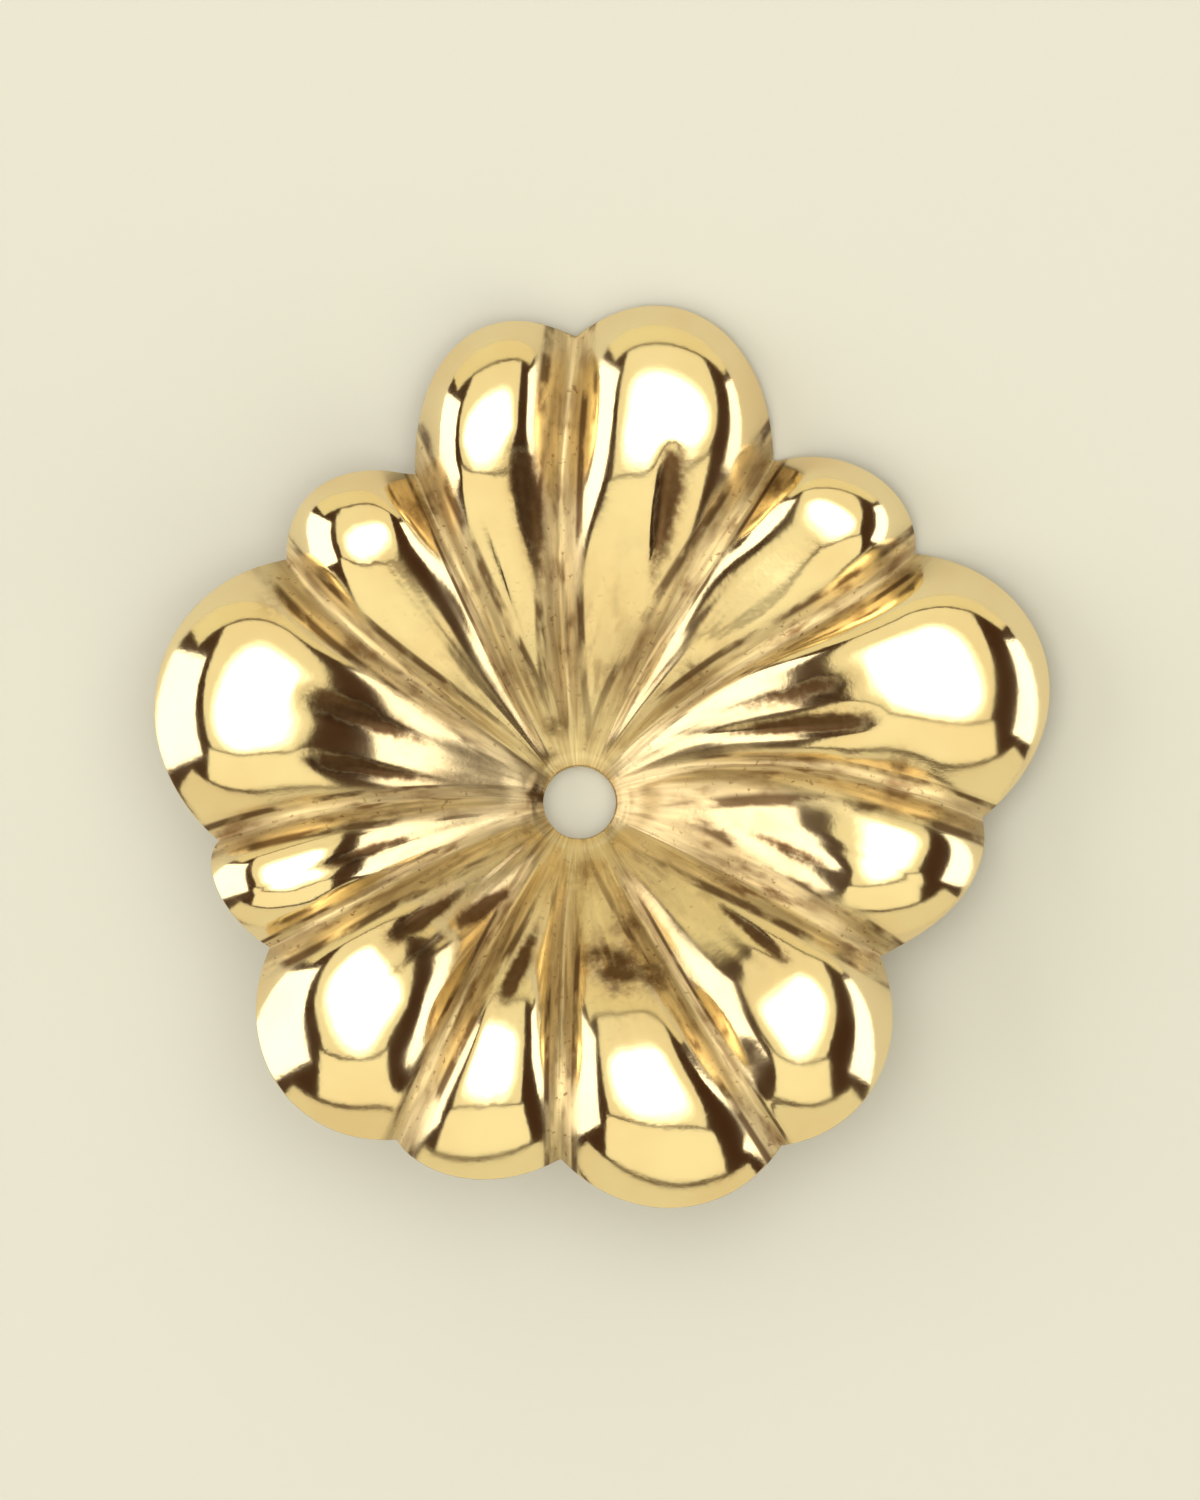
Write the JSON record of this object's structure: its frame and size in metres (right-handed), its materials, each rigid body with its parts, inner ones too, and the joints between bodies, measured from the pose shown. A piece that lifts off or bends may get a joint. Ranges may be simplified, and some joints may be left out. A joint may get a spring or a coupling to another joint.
{
  "type": "earring jacket",
  "caption": "Fluted flower earring jacket stamped from thin polished gold sheet, with rounded lobes running down to a hole for the earring's post.",
  "frame": {"origin": "middle of the box of the jacket, at the height of the surface that it lies on", "axes": "+Z up from the surface; the jacket lies on its back with its front up, its axis leaning 15.5 degrees from +Z towards 62.4 degrees from +X; +X is to the right and +Y up as the front is seen"},
  "size_m": [0.012, 0.012, 0.0035],
  "materials": {
    "gold": "polished"
  },
  "bodies": {
    "root": {"flower": "gold"}
  },
  "joints": []
}
